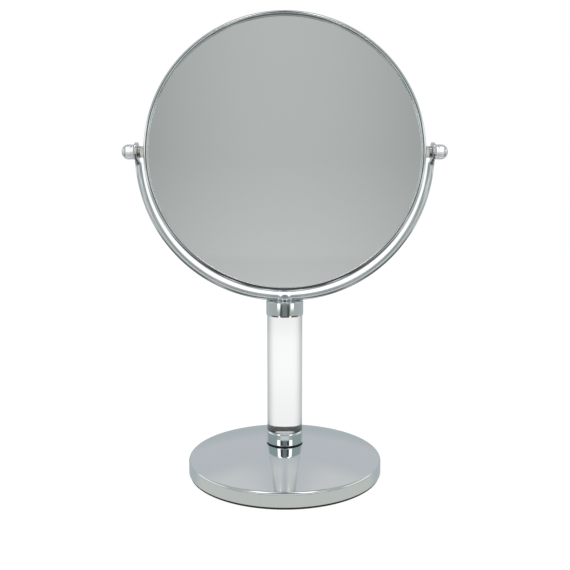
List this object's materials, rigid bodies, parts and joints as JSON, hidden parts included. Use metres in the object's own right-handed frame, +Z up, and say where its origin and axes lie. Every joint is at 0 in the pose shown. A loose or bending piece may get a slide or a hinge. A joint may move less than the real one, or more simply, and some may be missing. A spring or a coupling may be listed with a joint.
{
  "type": "tilting table mirror",
  "caption": "Free-standing shaving mirror: a round two-sided mirror that turns in a wire yoke on a clear column with a weighted chrome base.",
  "frame": {"origin": "middle of the underside of the base pad, on the surface that the mirror stands on", "axes": "+Z up along the column, +X to the right along the pivot axis, -Y out of the plain mirror's side"},
  "size_m": [0.2072, 0.1268, 0.2978],
  "materials": {
    "chrome": "polished chrome plate",
    "mirror_silver": "silvered float glass",
    "clear_acrylic": "polished clear acrylic",
    "black_rubber": "matt black rubber",
    "cast_iron": "rough casting",
    "plated_steel": "bright plated steel",
    "brass": "turned brass",
    "nylon": "natural nylon",
    "black_plastic": "moulded plastic",
    "foam": "closed-cell foam"
  },
  "bodies": {
    "stand": {"base_pad": "black_rubber", "ballast_disc": "cast_iron", "base_cover": "chrome", "base_bolt": "plated_steel", "base_bolt_washer": "plated_steel", "base_gasket": "black_rubber", "lower_collar": "chrome", "acrylic_column": "clear_acrylic", "lower_insert": "brass", "upper_insert": "brass", "upper_cap": "chrome", "yoke": "chrome", "yoke_screw": "plated_steel"},
    "head": {"front_frame_shell": "chrome", "rear_frame_shell": "chrome", "front_glass": "mirror_silver", "rear_glass": "mirror_silver", "backing_disc": "foam", "carrier_ring": "black_plastic", "right_pivot_nut": "plated_steel", "right_nylon_washer": "nylon", "right_spacer": "plated_steel", "left_pivot_nut": "plated_steel", "left_nylon_washer": "nylon", "left_spacer": "plated_steel"},
    "right_clamp": {"right_outer_washer": "nylon"},
    "right_knob": {"right_knob": "chrome", "right_pivot_screw": "plated_steel"},
    "left_clamp": {"left_outer_washer": "nylon"},
    "left_knob": {"left_knob": "chrome", "left_pivot_screw": "plated_steel"}
  },
  "joints": [
    {"name": "head_tilt", "type": "hinge", "parent": "stand", "child": "head", "pos_m": [0, 0, 0.209], "axis": [1, 0, 0], "continuous": true},
    {"name": "right_knob_travel", "type": "slide", "parent": "head", "child": "right_clamp", "axis": [1, 0, 0], "range_m": [0, 0.0014]},
    {"name": "right_knob_turn", "type": "hinge", "parent": "right_clamp", "child": "right_knob", "pos_m": [0.0955, 0, 0.209], "axis": [1, 0, 0], "range_deg": [0, 720]},
    {"name": "left_knob_travel", "type": "slide", "parent": "head", "child": "left_clamp", "axis": [-1, 0, 0], "range_m": [0, 0.0014]},
    {"name": "left_knob_turn", "type": "hinge", "parent": "left_clamp", "child": "left_knob", "pos_m": [-0.0955, 0, 0.209], "axis": [-1, 0, 0], "range_deg": [0, 720]}
  ],
  "couplings": [
    {"joint": "right_knob_turn", "follows": "right_knob_travel", "rad_per_m": 8975.9},
    {"joint": "left_knob_turn", "follows": "left_knob_travel", "rad_per_m": 8975.9}
  ]
}
